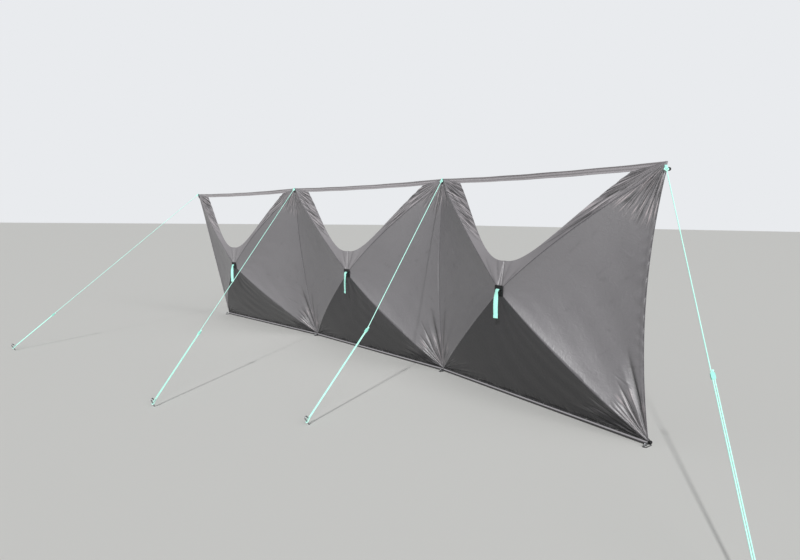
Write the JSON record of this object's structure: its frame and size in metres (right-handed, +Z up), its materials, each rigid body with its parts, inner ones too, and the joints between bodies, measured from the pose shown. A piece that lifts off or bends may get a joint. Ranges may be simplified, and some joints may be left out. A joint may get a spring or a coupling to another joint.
{
  "type": "beach windbreak",
  "caption": "Pop-up beach windbreak in joined bays: taut cloth on hub-and-rod frames, open see-over tops, edge tapes, guy lines and pegs.",
  "frame": {"origin": "on the ground, under the middle of the pitched windbreak's bounding box, guy lines and pegs included", "axes": "+X along the bays, from left to right for somebody on the guyed side, +Y away from the guyed side, +Z up"},
  "size_m": [6.5322, 2.6206, 1.5018],
  "materials": {
    "panel_cloth": "satin",
    "lower_cloth": "satin",
    "band_cloth": "satin",
    "edge_tape": "matte",
    "hem_cloth": "matte",
    "black_plastic": "matte",
    "rod_fibre": "satin",
    "black_webbing": "matte",
    "teal_webbing": "matte",
    "teal_cord": "matte",
    "mint_plastic": "satin",
    "peg_steel": "satin"
  },
  "bodies": {
    "root": {"lower_panel_1": "lower_cloth", "left_panel_1": "panel_cloth", "right_panel_1": "panel_cloth", "left_band_1": "band_cloth", "right_band_1": "band_cloth", "top_tape_1": "edge_tape", "hem_1": "hem_cloth", "hub_1": "black_plastic", "hub_plate_1": "black_plastic", "pull_strap_1": "teal_webbing", "rods_1": "rod_fibre", "lower_panel_2": "lower_cloth", "left_panel_2": "panel_cloth", "right_panel_2": "panel_cloth", "left_band_2": "band_cloth", "right_band_2": "band_cloth", "top_tape_2": "edge_tape", "hem_2": "hem_cloth", "hub_2": "black_plastic", "hub_plate_2": "black_plastic", "pull_strap_2": "teal_webbing", "rods_2": "rod_fibre", "lower_panel_3": "lower_cloth", "left_panel_3": "panel_cloth", "right_panel_3": "panel_cloth", "left_band_3": "band_cloth", "right_band_3": "band_cloth", "top_tape_3": "edge_tape", "hem_3": "hem_cloth", "hub_3": "black_plastic", "hub_plate_3": "black_plastic", "pull_strap_3": "teal_webbing", "rods_3": "rod_fibre", "band_darts": "band_cloth", "top_boots": "black_plastic", "foot_boots": "black_plastic", "corner_tabs": "teal_webbing", "foot_loops": "black_webbing", "foot_pegs": "peg_steel", "line_runners": "mint_plastic", "guy_pegs": "peg_steel", "guy_line_1": "teal_cord", "guy_line_2": "teal_cord", "guy_line_3": "teal_cord", "guy_line_4": "teal_cord"}
  },
  "joints": []
}
